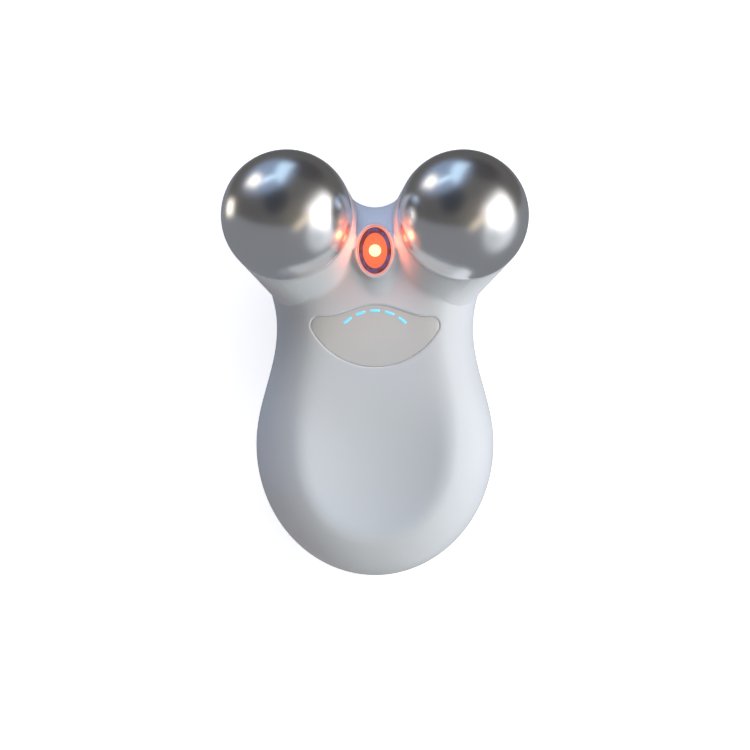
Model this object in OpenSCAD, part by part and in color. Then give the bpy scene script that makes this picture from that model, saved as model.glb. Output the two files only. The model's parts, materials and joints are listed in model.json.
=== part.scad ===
// Hand-held facial toning device: a pear-shaped two-shell body with a thumb dish, two horns that carry
// polished contact balls, a lit oval window between them and one push key with five level lights.
// It lies on its flat back. X runs across, Y towards the balls, Z up through the front face, in millimetres.
// The origin is on the flat back, under the widest part of the palm bulb.

/* [Body] */
// Half of the palm bulb's width
bulb_half_w = 29.75; // [27:0.25:33]
// Length of the round tail, from the bulb's middle to its tip
tail_l = 33; // [31:0.5:36]
// Distance from the bulb's middle to the waist
waist_y = 29; // [27:0.5:31]
// Half of the waist's width
waist_half_w = 24.6; // [23.5:0.1:26]
// Distance from the bulb's middle to the root of the horns
head_y = 38; // [37:0.5:39.5]
// Half of the head's width at the root of the horns
head_half_w = 26.1; // [25:0.1:27.5]
// Length of the head's round end, which closes under the horns
head_l = 20; // [18:0.5:21]
// Height of the parting line above the flat back
seam_z = 12.5; // [12.2:0.1:13]
// Height of the bulb's crown
bulb_top = 28; // [27:0.25:30]
// Height of the waist's crown
waist_top = 27.3; // [26.8:0.1:27.6]
// How far the round back is cut away to leave its flat
back_cut = 1.6; // [1:0.1:2]
// Wall of both shells
wall = 2; // [1.7:0.1:2.2]
// Squareness of the cross-section, where 2 is an ellipse
section_power = 2.4; // [2.2:0.05:2.7]

/* [Thumb dish] */
// Height of the dish's lowest point above the flat back
dish_floor = 23.2; // [22.8:0.1:24.2]
// Place of that point along the body
dish_y = -5; // [-7:0.5:-2]
// Radius of the dish across the body
dish_across_r = 67; // [55:1:90]
// Radius of the dish along the body, towards the tail
dish_along_r = 122; // [90:2:150]
// Length over which the dish rises to the key's panel
dish_rise_l = 24; // [20:0.5:27]
// Height of the panel that carries the key
panel_z = 25; // [24.6:0.1:25.4]
// Radius of that panel across the body
panel_r = 400; // [200:10:600]
// Rounding of the dish's rim
dish_edge = 1.4; // [0.8:0.1:2]

/* [Balls and horns] */
// Radius of each contact ball
ball_r = 16.25; // [15.5:0.05:16.6]
// Width over both horns' rims
overall_w = 76.9; // [76.4:0.1:78.9]
// Place of the balls along the body
ball_y = 57.1; // [56:0.1:58]
// Height from the flat back to the balls' tops
overall_h = 50.25; // [49.75:0.25:51.25]
// Wall of the hollow balls
ball_wall = 0.9; // [0.7:0.1:1.2]
// Depth of each horn's rim below the ball's centre
rim_drop = 4; // [3.4:0.1:4.6]
// Width of the rim's lip outside the ball
rim_lip = 0.2; // [0.15:0.05:0.3]
// Clearance between ball and cup
cup_gap = 0.3; // [0.25:0.05:0.4]
// Wall of the cup under each ball
cup_wall = 2; // [1.8:0.1:2.4]
// Distance of each horn's root from the middle
root_x = 15.5; // [15:0.1:16]
// Place of the horns' roots along the body
root_y = 50; // [49:0.1:50.5]
// Height of the horns' roots
root_z = 15; // [14.9:0.05:15.2]
// Half of each root's size across, along and through the body
root_size = [13, 19, 14.7]; // [12:0.1:19.5]
// Radius of the saddle between the horns
saddle_r = 8.6; // [8:0.1:9.2]
// Place of the saddle's lowest point along the body
saddle_y = 59.3; // [58.8:0.1:60]
// Half thickness of the web between the horns, along the body
web_half_l = 10.5; // [10:0.1:11]
// Half thickness of the web, through the body
web_half_h = 12; // [11.8:0.1:12.2]

/* [Ball fixing] */
// Depth of the flat foot on each ball, measured from its centre
foot_drop = 15.4; // [15:0.1:15.5]
// Thickness of the gasket under each ball
gasket_t = 0.75; // [0.6:0.05:0.8]
// Outer radius of the gasket
gasket_r = 4.8; // [4.2:0.1:5]
// Radius of the fixing screw's thread
ball_screw_r = 1.25; // [1:0.05:1.5]
// Radius of the fixing screw's head
ball_head_r = 2.6; // [2.3:0.1:3]
// Height of the fixing screw's head
ball_head_h = 1.5; // [1.2:0.1:1.7]
// Length of thread inside the ball
ball_thread_l = 8; // [6:0.5:10]
// Radius of the threaded post inside each ball
post_r = 3.4; // [3:0.1:4]
// Thickness of the contact tag under the screw's head
tag_t = 0.5; // [0.4:0.1:0.6]
// Outer radius of the contact tag
tag_r = 3.1; // [3:0.1:3.4]

/* [Lit window] */
// Place of the window along the body
window_y = 48.3; // [47.5:0.1:49]
// Height of the window boss's face
boss_top = 26.8; // [26.2:0.1:27.4]
// Half width and half length of the boss
boss_size = [5, 6.9]; // [4.9:0.1:7.2]
// Half width and half length of the clear bezel
bezel_size = [4.48, 6.28]; // [4.3:0.01:6.4]
// Width of the bezel's ring
bezel_w = 0.45; // [0.35:0.05:0.5]
// How far the bezel stands proud of the boss
bezel_proud = 0.3; // [0.2:0.05:0.5]
// Half width and half length of the lens
lens_size = [3.05, 4.4]; // [2.9:0.05:4.6]
// Height of the lens's face below the bezel's
lens_drop = 1.4; // [1.2:0.1:1.7]
// Thickness of the lens
lens_t = 1.4; // [1.2:0.1:1.6]
// Radius of the lamp's dome
lamp_r = 1.7; // [1.5:0.05:1.9]
// Width of the lamp's square base
lamp_base_w = 3.2; // [3:0.1:3.5]
// Thickness of the lamp board
lamp_board_t = 1; // [0.8:0.1:1.2]
// Depth of the window's well below its face
well_depth = 6.5; // [6.3:0.1:6.8]

/* [Key and switch] */
// Radius of the key's lower edge
key_arc_r = 18.1; // [17.5:0.1:18.6]
// Centre of that arc along the body
key_arc_y = 37.4; // [37:0.1:38]
// Place of the key's upper corners along the body
key_shoulder_y = 31.8; // [31.2:0.05:32]
// How far the key's upper edge rises in the middle
key_rise = 2.9; // [2.4:0.1:3]
// Radius of the key's corners
key_corner_r = 2.2; // [1.5:0.1:2.4]
// Thickness of the key's plate
key_t = 1.6; // [1.3:0.1:1.8]
// Gap round the key
key_gap = 0.16; // [0.12:0.02:0.3]
// Width of the flange that keeps the key in
key_flange = 0.85; // [0.6:0.05:1]
// Travel of the key
key_travel = 0.5; // [0.3:0.05:0.6]
// Place of the switch along the body
switch_y = 25.5; // [24.5:0.1:26]
// Width of the switch housing
switch_w = 6; // [5.5:0.1:6.5]
// Height of the switch housing
switch_h = 3.4; // [3.2:0.1:3.8]
// Radius of the switch stem
stem_r = 1.7; // [1.4:0.1:1.9]
// Height of the stem above the housing
stem_out = 2.4; // [2:0.1:2.8]
// Radius of the arc of level lights
light_arc_r = 10.9; // [10.5:0.1:11.2]
// Centre of that arc along the body
light_arc_y = 22.4; // [22:0.1:22.6]
// Angle between neighbouring level lights
light_step = 19.4; // [17:0.1:20.5]
// Length of each level light
light_l = 2.6; // [2.2:0.1:3]
// Width of each level light
light_w = 0.8; // [0.6:0.05:1]
// How far the level lights stand proud of the key
light_proud = 0.12; // [0.05:0.01:0.2]

/* [Boards and battery] */
// Underside of the main board above the flat back
board_z = 13; // [12.9:0.05:13.2]
// Thickness of the boards
board_t = 1.2; // [1:0.1:1.4]
// Half of the main board's width
board_half_w = 15; // [14.6:0.1:15.5]
// Tail end of the main board
board_y0 = -6; // [-7:0.5:-5]
// Head end of the main board
board_y1 = 40; // [39.5:0.1:40.5]
// Distance of the board's screws from the middle
post_x = 12; // [11.7:0.1:12.3]
// Tail and head pair of board screws along the body
post_ys = [-2, 36.2]; // [-3:0.1:36.4]
// Radius of the board screws' thread
board_screw_r = 0.9; // [0.8:0.05:1]
// Width of the battery cell
cell_w = 25; // [22:0.5:26]
// Length of the battery cell
cell_l = 40; // [36:0.5:41]
// Thickness of the battery cell
cell_t = 7.6; // [7:0.1:7.8]
// Space between the charging board and the battery cell
cell_gap = 1.9; // [1.5:0.1:2.4]
// Thickness of the foam pad under the cell
pad_t = 0.6; // [0.5:0.1:0.8]
// Place of the boost coil across and along the body
coil_at = [8, 15]; // [7:0.5:16]
// Radius of the boost coil
coil_r = 4; // [3:0.25:4.5]
// Height of the boost coil
coil_h = 5; // [4:0.25:5.5]
// Thickness of the coil's flanges
coil_flange = 1; // [0.6:0.1:1.2]
// Place of the beeper along the body
beeper_y = 2; // [1:0.5:3]
// Radius of the beeper
beeper_r = 6; // [4.5:0.25:6.5]
// Height of the beeper
beeper_h = 4; // [3:0.25:4.5]
// Radius of the insulated wires
wire_r = 0.55; // [0.45:0.05:0.65]

/* [Charging socket] */
// Width of the socket's mouth
socket_w = 8.94; // [8.9:0.01:9]
// Height of the socket's mouth
socket_h = 3.2; // [3.15:0.01:3.3]
// Depth of the socket
socket_l = 7.35; // [7:0.05:7.6]
// Sheet thickness of the socket's case
socket_t = 0.3; // [0.25:0.05:0.35]
// Height of the socket's underside above the flat back
socket_z = 8.2; // [8.1:0.05:8.4]
// How far the socket's mouth sits inside the tail's tip
socket_recess = 1.3; // [1.1:0.1:1.5]
// Gap between the socket and the shell
socket_gap = 0.2; // [0.15:0.05:0.3]
// Length of the charging board
charge_board_l = 10.5; // [10:0.1:11]
// Width of the charging board
charge_board_w = 15; // [14:0.1:15.4]

/* [Hidden] */

$fn = 64;
eps = 0.01;

// Rings of the body's skin: outside and inside, along and round the body
outer_rings = [12, 19, 9];
outer_sides = 48;
inner_rings = [7, 10, 6];
inner_sides = 32;
// Smallest angle from a round end's tip at which a ring still lies
tip_angle = 4;

back_power = 2.3;
flare = (head_half_w - waist_half_w) / pow(head_y - waist_y, 2);

// Places that follow from the balls
ball_x = overall_w / 2 - ball_r - rim_lip;
ball_z = overall_h - ball_r;
rim_z = ball_z - rim_drop;
foot_z = ball_z - foot_drop;
cup_floor = foot_z - gasket_t;
cup_under = cup_floor - cup_wall - 0.25;
web_r = saddle_r + web_half_l;
web_y = saddle_y + saddle_r;
web_z = web_half_h + 0.5;
web_reach = 46;

// Heights that follow from the window
bezel_top = boss_top + bezel_proud;
lens_top = bezel_top - lens_drop;
lamp_board_top = bezel_top - well_depth + lamp_board_t;
well_floor = lamp_board_top - lamp_board_t;
well_wall = 1.1;
well_tail = 1.9;
well_hole = [bezel_size[0] - 0.6, bezel_size[1] - 0.6];

// Heights that follow from the boards
board_top = board_z + board_t;
switch_top = board_top + switch_h;
stem_top = switch_top + stem_out;
switch_floor = board_top + 1;
dome_h = 1.1;
stem_foot = switch_floor + dome_h + 0.03;
light_foot = board_top + 0.6 + key_travel + 0.2;
led_h = 0.6;
cell_z = wall + pad_t;
clear = 0.05;
flange_t = 0.9;
flange_top = panel_z - wall + 0.35;
flange_low = flange_top - flange_t;
key_floor = panel_z - key_t;
case_lip_h = 1.2;
case_lip_gap = 0.1;
charge_board_t = 1;
charge_board_z = socket_z - charge_board_t;
charge_board_y0 = -tail_l + socket_recess + socket_l - 2.1;
charge_post_y = charge_board_y0 + charge_board_l - 3.2;
cell_y0 = charge_board_y0 + charge_board_l + cell_gap;
charge_post_x = charge_board_w / 2 - 2.2;
charge_post_r = 2;

function clamp01(v) = min(1, max(0, v));
function ease(v) = let (c = clamp01(v)) c * c * (3 - 2 * c);
function bell(v) = (1 + cos(180 * clamp01(v))) / 2;
function super(v, power) = pow(max(0, 1 - pow(min(1, abs(v)), power)), 1 / power);
function signed_pow(v, power) = sign(v) * pow(abs(v), power);

// Half width of the body at y, inside an even inset
function half_width(y, inset = 0) =
    y < 0 ? (bulb_half_w - inset) * sqrt(max(0, 1 - pow(y / (tail_l - inset), 2)))
    : y < waist_y ? waist_half_w - inset + (bulb_half_w - waist_half_w) * bell(y / waist_y)
    : y < head_y ? waist_half_w - inset + flare * pow(y - waist_y, 2)
    : (head_half_w - inset) * sqrt(max(0, 1 - pow((y - head_y) / (head_l - inset), 2)));

// How much of its full height the body has at y, where its ends are rounded
function end_round(y, inset = 0) =
    y < 0 ? super(y / (tail_l - inset), section_power)
    : y < head_y ? 1
    : sqrt(max(0, 1 - pow((y - head_y) / (head_l - inset), 2)));

// Height of the crown line above the parting line at y
function crown(y, inset = 0) =
    (waist_top - seam_z - inset + (bulb_top - waist_top) * (y < 0 ? 1 : bell(y / waist_y)))
    * end_round(y, inset);

// Depth of the round back below the parting line at y
function keel(y, inset = 0) = (seam_z + back_cut - inset) * end_round(y, inset);

// Height of the hollow scooped out of the crown: a dish that rises to the key's panel
function bowl(x, y) =
    let (
        rise = ease((y - dish_y) / dish_rise_l),
        across = (1 - rise) / (2 * dish_across_r) + rise / (2 * panel_r)
    )
    dish_floor + (panel_z - dish_floor) * rise + across * x * x
    + pow(min(0, y - dish_y), 2) / (2 * dish_along_r);

// The lower of two heights, with the edge between them rounded over
function soft_min(a, b) =
    let (near = max(0, dish_edge - abs(a - b)) / dish_edge)
    min(a, b) - near * near * dish_edge / 4;

// Height of the front face at x, y
function front_z(x, y, inset = 0) =
    soft_min(seam_z + crown(y, inset) * super(x / half_width(y, inset), section_power),
        bowl(x, y) - inset);

// One ring of the body's skin, counter-clockwise seen from the tail
function body_ring(y, inset, sides) = [
    for (i = [0 : sides - 1])
        let (
            a = 360 * i / sides,
            front = sin(a) >= 0,
            power = front ? section_power : back_power,
            u = signed_pow(cos(a), 2 / power),
            v = signed_pow(sin(a), 2 / power),
            x = half_width(y, inset) * u,
            z = front ? soft_min(seam_z + crown(y, inset) * v, bowl(x, y) - inset)
                : seam_z + keel(y, inset) * v
        )
        [x, y, z]
];

function stations(inset, rings) = concat(
    [for (i = [0 : rings[0] - 1])
        -(tail_l - inset) * cos(tip_angle + (90 - tip_angle) * i / rings[0])],
    [for (i = [0 : rings[1] - 1]) head_y * i / rings[1]],
    [for (i = [0 : rings[2]]) head_y + (head_l - inset) * sin((90 - tip_angle) * i / rings[2])]
);

// A closed solid through a list of rings that all have the same number of points
module skin(rings) {
    sides = len(rings[0]);
    last = len(rings) - 1;
    points = [for (ring = rings) for (p = ring) p];
    walls = [
        for (j = [0 : last - 1])
            for (i = [0 : sides - 1])
                let (a = j * sides + i, b = j * sides + (i + 1) % sides)
                for (face = [[a, b, b + sides], [a, b + sides, a + sides]]) face
    ];
    tail_cap = [for (i = [sides - 1 : -1 : 0]) i];
    head_cap = [for (i = [0 : sides - 1]) last * sides + i];
    polyhedron(points, concat(walls, [tail_cap, head_cap]), convexity = 6);
}

// The pear-shaped body, evenly smaller by the inset and cut flat at the back
module body_form(inset = 0, rings = outer_rings, sides = outer_sides) {
    intersection() {
        skin([for (y = stations(inset, rings)) body_ring(y, inset, sides)]);
        translate([-50, -50, inset]) cube([100, 150, 60]);
    }
}

// One horn: a cone from the cup's rim down to its broad root in the head
module horn_form(side, inset = 0) {
    hull() {
        translate([side * ball_x, ball_y, rim_z - inset - 0.8])
            cylinder(r = ball_r + rim_lip - inset, h = 0.8, $fn = 44);
        translate([side * root_x, root_y, root_z])
            scale([for (half = root_size) half - inset]) sphere(1, $fn = 32);
    }
}

// The curved web between the horns, with the saddle on its inside
module web_form(inset = 0) {
    intersection() {
        translate([0, web_y, web_z])
            rotate_extrude(angle = 2 * web_reach, start = 270 - web_reach, $fn = 54)
                translate([web_r, 0])
                    scale([web_half_l - inset, web_half_h - inset]) circle(1, $fn = 32);
        translate([-50, 0, inset]) cube([100, 100, 60]);
    }
}

// Everything that the two shells enclose
module full_form(inset = 0, rings = outer_rings, sides = outer_sides) {
    body_form(inset, rings, sides);
    web_form(inset);
    for (side = [-1, 1]) horn_form(side, inset);
}

module ellipse_prism(size, z0, z1, grow = 0, fn = 56) {
    translate([0, window_y, z0])
        linear_extrude(z1 - z0)
            polygon([for (i = [0 : fn - 1])
                [(size[0] + grow) * cos(360 * i / fn), (size[1] + grow) * sin(360 * i / fn)]]);
}

// The hollow inside both shells, which leaves a cup under each ball
module cavity() {
    difference() {
        full_form(wall, inner_rings, inner_sides);
        for (side = [-1, 1])
            translate([side * ball_x, ball_y, 0]) {
                intersection() {
                    translate([0, 0, ball_z]) sphere(ball_r + cup_gap + cup_wall, $fn = 36);
                    translate([-50, -50, cup_under]) cube([100, 100, 60]);
                }
                translate([0, 0, cup_under])
                    cylinder(r = gasket_r + 2, h = cup_wall + 0.25);
            }
    }
}

// The key's outline, grown by an even amount
module key_outline(grow = 0) {
    offset(r = grow, $fn = 32)
        offset(r = key_corner_r, $fn = 32) offset(delta = -key_corner_r)
            intersection() {
                translate([0, key_arc_y]) circle(key_arc_r, $fn = 84);
                polygon(concat(
                    [for (i = [-20 : 2 : 20])
                        [i, key_shoulder_y + key_rise * bell(abs(i) / 13)]],
                    [[20, 0], [-20, 0]]));
            }
}

// The rim under the key's edge, grown outwards by an even amount
module key_rim(grow = 0) {
    difference() {
        key_outline(grow);
        key_outline(-1.3);
    }
}

// Places one child at each level light
module at_each_light() {
    for (i = [-2 : 2])
        translate([0, light_arc_y, 0]) rotate(-i * light_step) translate([0, light_arc_r, 0])
            children();
}

module light_bar(z0, z1, grow = 0) {
    hull()
        for (side = [-1, 1])
            translate([side * (light_l - light_w) / 2, 0, z0])
                cylinder(r = light_w / 2 + grow, h = z1 - z0, $fn = 16);
}

module at_each_post() {
    for (y = post_ys)
        for (side = [-1, 1])
            translate([side * post_x, y, 0]) children();
}

// The socket's rounded slot, along Y from y0
module socket_slot(y0, l, grow) {
    r = socket_h / 2 + grow;
    hull()
        for (side = [-1, 1])
            translate([side * (socket_w - socket_h) / 2, y0, socket_z + socket_h / 2])
                rotate([-90, 0, 0]) cylinder(r = r, h = l, $fn = 32);
}

// The lip on the parting line, where the shells' walls overlap
module case_lip(gap) {
    difference() {
        full_form(wall / 2 + gap, inner_rings, inner_sides);
        full_form(wall, inner_rings, inner_sides);
    }
}

module front_half(z) { translate([-60, -60, z]) cube([120, 160, 60]); }
module back_half(z) { translate([-60, -60, z - 60]) cube([120, 160, 60]); }

module front_shell() {
    color([0.90, 0.91, 0.93]) difference() {
        union() {
            difference() {
                intersection() {
                    union() {
                        full_form();
                        ellipse_prism(boss_size, seam_z, boss_top);
                    }
                    front_half(seam_z);
                }
                cavity();
                intersection() {
                    full_form(wall / 2 - case_lip_gap, inner_rings, inner_sides);
                    back_half(seam_z + case_lip_h + case_lip_gap);
                }
            }
            // tube of the window's well, open to the inside
            ellipse_prism(bezel_size, well_floor - well_tail, boss_top - 1, well_wall);
            // posts for the main board
            intersection() {
                at_each_post() translate([0, 0, board_top]) cylinder(r = 2.3, h = 20, $fn = 32);
                full_form(wall / 2, inner_rings, inner_sides);
            }
        }
        // cups of the balls, with a flat floor for the gasket
        for (side = [-1, 1])
            translate([side * ball_x, ball_y, 0]) {
                intersection() {
                    translate([0, 0, ball_z]) sphere(ball_r + cup_gap, $fn = 48);
                    translate([-50, -50, cup_floor]) cube([100, 100, 60]);
                }
                translate([0, 0, cup_floor]) cylinder(r = gasket_r + 0.2, h = 1, $fn = 48);
                translate([0, 0, cup_under - 1]) cylinder(r = ball_screw_r + 0.2, h = 6, $fn = 24);
            }
        // window well, with a ledge under the lamp board
        ellipse_prism(bezel_size, well_floor, bezel_top + 1, clear);
        ellipse_prism(well_hole, well_floor - 4, well_floor + 1);
        // key opening
        translate([0, 0, board_top]) linear_extrude(30) key_outline(key_gap);
        // room for the key's flange and its travel
        translate([0, 0, board_top]) linear_extrude(flange_top - board_top)
            key_outline(key_flange + 2 * key_gap);
        at_each_post() translate([0, 0, board_top - 1])
            cylinder(r = board_screw_r + clear, h = 5.5, $fn = 24);
    }
}

module back_shell() {
    color([0.88, 0.89, 0.91]) difference() {
        union() {
            difference() {
                intersection() {
                    full_form();
                    back_half(seam_z);
                }
                cavity();
            }
            // the lip that reaches up inside the front shell
            intersection() {
                case_lip(case_lip_gap);
                front_half(seam_z - 1);
                back_half(seam_z + case_lip_h);
            }
            // ribs beside the battery cell
            for (side = [-1, 1])
                for (y = [cell_y0 + 4, cell_y0 + cell_l / 2, cell_y0 + cell_l - 4])
                    translate([side * (cell_w / 2 + clear), y, wall - eps]) hull() {
                        translate([side * 0.6 - 0.6, -2.5, 0]) cube([1.2, 5, 4.2]);
                        translate([side * 2 - 0.6, -2.5, 0]) cube([1.2, 5, 0.6]);
                    }
            // end stop of the cell
            for (side = [-1, 1])
                hull() {
                    translate([side * 6 - 2.5, cell_y0 - 1.25, wall - eps]) cube([5, 1.2, 3.6]);
                    translate([side * 6 - 2.5, cell_y0 - 2.6, wall - eps]) cube([5, 2.4, 0.6]);
                }
            // posts for the charging board
            intersection() {
                for (side = [-1, 1])
                    translate([side * charge_post_x, charge_post_y, 0])
                        cylinder(r = charge_post_r, h = charge_board_z, $fn = 32);
                full_form(wall / 2, inner_rings, inner_sides);
            }
        }
        socket_slot(-tail_l - 5, socket_recess + 12, socket_gap);
        for (side = [-1, 1])
            translate([side * charge_post_x, charge_post_y, charge_board_z - 3.2])
                cylinder(r = board_screw_r + clear, h = 5, $fn = 24);
    }
}

// A hollow ball with a flat foot and a threaded post
module ball(side) {
    color([0.72, 0.73, 0.75]) translate([side * ball_x, ball_y, 0]) difference() {
        union() {
            difference() {
                intersection() {
                    translate([0, 0, ball_z]) sphere(ball_r, $fn = 96);
                    translate([-50, -50, foot_z]) cube([100, 100, 100]);
                }
                intersection() {
                    translate([0, 0, ball_z]) sphere(ball_r - ball_wall, $fn = 96);
                    translate([-50, -50, foot_z + ball_wall + 0.4]) cube([100, 100, 100]);
                }
            }
            translate([0, 0, foot_z + 0.5]) cylinder(r = post_r, h = ball_thread_l + 1.5);
        }
        translate([0, 0, foot_z - 1]) cylinder(r = ball_screw_r + clear, h = ball_thread_l + 2);
    }
}

module gasket(side) {
    color([0.80, 0.81, 0.82]) translate([side * ball_x, ball_y, cup_floor]) difference() {
        cylinder(r = gasket_r, h = gasket_t);
        translate([0, 0, -1]) cylinder(r = ball_screw_r + 0.4, h = gasket_t + 2);
    }
}

module ball_screws() {
    shank_z = cup_under - tag_t;
    color([0.75, 0.68, 0.45])
        for (side = [-1, 1])
            translate([side * ball_x, ball_y, 0]) difference() {
                union() {
                    translate([0, 0, shank_z])
                        cylinder(r = ball_screw_r, h = foot_z - shank_z + ball_thread_l);
                    translate([0, 0, shank_z - ball_head_h]) cylinder(r = ball_head_r, h = ball_head_h);
                }
                translate([-0.4, -ball_head_r, shank_z - ball_head_h - eps])
                    cube([0.8, 2 * ball_head_r, 0.7]);
            }
}

// Ring terminal with a tail that points to the main board
module ball_tags() {
    color([0.80, 0.70, 0.40])
        for (side = [-1, 1])
            translate([side * ball_x, ball_y, cup_under - tag_t])
                difference() {
                    union() {
                        cylinder(r = tag_r, h = tag_t);
                        rotate(-90 - side * 30) translate([0, -1, 0]) cube([tag_r + 2.6, 2, tag_t]);
                    }
                    translate([0, 0, -1]) cylinder(r = ball_screw_r + clear, h = tag_t + 2);
                }
}

function bezier(p, t) =
    let (s = 1 - t)
    s * s * s * p[0] + 3 * s * s * t * p[1] + 3 * s * t * t * p[2] + t * t * t * p[3];
function unit(v) = v / norm(v);

// A round wire along a cubic curve. The side direction keeps the rings from twisting.
module wire(p, aside, steps = 9, sides = 8) {
    skin([
        for (k = [0 : steps])
            let (
                t = k / steps,
                along = unit(bezier(p, min(1, t + 0.01)) - bezier(p, max(0, t - 0.01))),
                n1 = unit(cross(along, aside)),
                n2 = cross(along, n1)
            )
            [for (i = [0 : sides - 1])
                let (a = -360 * i / sides)
                bezier(p, t) + wire_r * (cos(a) * n1 + sin(a) * n2)]
    ]);
}

module ball_lead(side) {
    start_r = tag_r + 2;
    start = [side * (ball_x - start_r * sin(30)), ball_y - start_r * cos(30),
        cup_under - tag_t - wire_r - clear];
    end = [side * (board_half_w - 2), board_y1 - 1, board_top + wire_r + clear];
    color([0.85, 0.85, 0.30])
        wire([start, start + [-side, -4, 0], end + [side, 4, 0.4], end], [0, 0, 1]);
}

module window_bezel() {
    color([0.95, 0.80, 0.78]) difference() {
        ellipse_prism(bezel_size, lamp_board_top, bezel_top);
        ellipse_prism(bezel_size, lamp_board_top - 1, bezel_top + 1, -bezel_w);
    }
}

// Polished ring that flares open round the lens
module window_reflector() {
    size = [bezel_size[0] - bezel_w - clear, bezel_size[1] - bezel_w - clear];
    color([0.25, 0.24, 0.30]) difference() {
        ellipse_prism(size, lens_top - lens_t - 0.4, bezel_top - 0.4);
        ellipse_prism(lens_size, lens_top - lens_t - 1, lens_top - lens_t + eps, -0.4);
        ellipse_prism(lens_size, lens_top - lens_t, bezel_top + 1, clear);
        hull() {
            ellipse_prism(lens_size, lens_top, lens_top + 0.1, clear);
            ellipse_prism(size, bezel_top - 0.4, bezel_top, -0.12);
        }
    }
}

module window_lens() {
    color([0.95, 0.35, 0.20]) difference() {
        ellipse_prism(lens_size, lens_top - lens_t, lens_top);
        translate([0, window_y, lens_top - lens_t - 1]) cylinder(r = lamp_r + clear, h = lens_t + 2);
    }
}

module red_lamp() {
    color([1.0, 0.75, 0.45]) {
        translate([-lamp_base_w / 2, window_y - lamp_base_w / 2, lamp_board_top])
            cube([lamp_base_w, lamp_base_w, 0.9]);
        translate([0, window_y, lamp_board_top + 0.9 - eps])
            cylinder(r = lamp_r, h = lens_top - lamp_board_top - 0.9 - 0.5 + eps);
        translate([0, window_y, lens_top - 0.5 - eps])
            rotate_extrude() intersection() {
                translate([0, 0.6 - (lamp_r * lamp_r + 0.36) / 1.2]) circle((lamp_r * lamp_r + 0.36) / 1.2);
                square([lamp_r, 0.7]);
            }
    }
}

module lamp_board() {
    color([0.10, 0.35, 0.20])
        ellipse_prism(bezel_size, well_floor, lamp_board_top, -0.1);
}

module lamp_leads() {
    color([0.75, 0.15, 0.12])
        for (side = [-1, 1]) {
            start = [side * 1.8, window_y, well_floor - clear];
            end = [side * 1.8, board_y1 - 0.5, board_top + wire_r + clear];
            wire([start, start + [0, 0, -3.5], end + [0, 5, 0.2], end], [1, 0, 0]);
        }
}

module key_panel() {
    color([0.78, 0.77, 0.76]) difference() {
        union() {
            // the plate, cut to the body's skin
            intersection() {
                translate([0, 0, key_floor]) linear_extrude(key_t + 2) key_outline();
                body_form();
            }
            // the rim round its underside
            translate([0, 0, flange_low]) linear_extrude(key_floor + 0.2 - flange_low) key_rim();
            // flange under the shell's edge
            translate([0, 0, flange_low]) linear_extrude(flange_t - clear) key_rim(key_flange);
            // plunger over the switch, with four ribs
            translate([0, switch_y, stem_top + 0.02])
                cylinder(r = stem_r + 0.4, h = key_floor + 0.2 - stem_top, $fn = 32);
            for (turn = [0 : 90 : 270])
                translate([0, switch_y, stem_top + 0.6]) rotate(turn + 2) hull() {
                    translate([1, -0.4, 0.4]) cube([0.5, 0.8, 2]);
                    translate([1, -0.4, 2]) cube([4.2, 0.8, key_floor - stem_top - 2.4]);
                }
        }
        at_each_light() light_bar(board_top, 40, clear);
    }
}

module level_lights() {
    color([0.35, 0.90, 1.0])
        for (i = [-2 : 2])
            hull()
                for (side = [-1, 1])
                    let (
                        a = i * light_step,
                        s = side * (light_l - light_w) / 2,
                        x = light_arc_r * sin(a) + s * cos(a),
                        y = light_arc_y + light_arc_r * cos(a) - s * sin(a)
                    )
                    translate([x, y, light_foot])
                        cylinder(r = light_w / 2, h = front_z(x, y) + light_proud - light_foot, $fn = 16);
}

module switch_housing() {
    color([0.12, 0.12, 0.13]) difference() {
        translate([-switch_w / 2, switch_y - switch_w / 2, board_top])
            cube([switch_w, switch_w, switch_h]);
        translate([0, switch_y, switch_floor]) cylinder(r = stem_r + clear, h = switch_h);
    }
}

// Snap dome that returns the stem
module switch_dome() {
    dome_r = stem_r - 0.1;
    sphere_r = (dome_r * dome_r + dome_h * dome_h) / (2 * dome_h);
    color([0.80, 0.78, 0.70])
        translate([0, switch_y, switch_floor + dome_h - sphere_r])
            intersection() {
                difference() {
                    sphere(sphere_r);
                    sphere(sphere_r - 0.15);
                }
                translate([-3, -3, sphere_r - dome_h]) cube([6, 6, 4]);
            }
}

module switch_stem() {
    color([0.20, 0.20, 0.21])
        translate([0, switch_y, stem_foot]) cylinder(r = stem_r, h = stem_top - stem_foot);
}

module rounded_plate(x0, y0, x1, y1, r, z, t) {
    translate([0, 0, z]) linear_extrude(t)
        translate([x0 + r, y0 + r]) union() {
            for (x = [0, x1 - x0 - 2 * r])
                for (y = [0, y1 - y0 - 2 * r]) translate([x, y]) circle(r, $fn = 24);
            translate([-r, 0]) square([x1 - x0, y1 - y0 - 2 * r]);
            translate([0, -r]) square([x1 - x0 - 2 * r, y1 - y0]);
        }
}

module main_board() {
    color([0.08, 0.36, 0.22]) difference() {
        rounded_plate(-board_half_w, board_y0, board_half_w, board_y1, 2, board_z, board_t);
        at_each_post() translate([0, 0, board_z - 1]) cylinder(r = board_screw_r + 0.2, h = board_t + 2);
    }
}

// Pan-head screw that points up, with its head under z
module small_screw(l) {
    translate([0, 0, -1.1]) difference() {
        cylinder(r = 1.8, h = 1.1);
        translate([-0.3, -1.3, -eps]) cube([0.6, 2.6, 0.5]);
        translate([-1.3, -0.3, -eps]) cube([2.6, 0.6, 0.5]);
    }
    cylinder(r = board_screw_r, h = l);
}

module board_screws() {
    color([0.70, 0.70, 0.72])
        at_each_post() translate([0, 0, board_z]) small_screw(board_t + 4);
}

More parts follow.
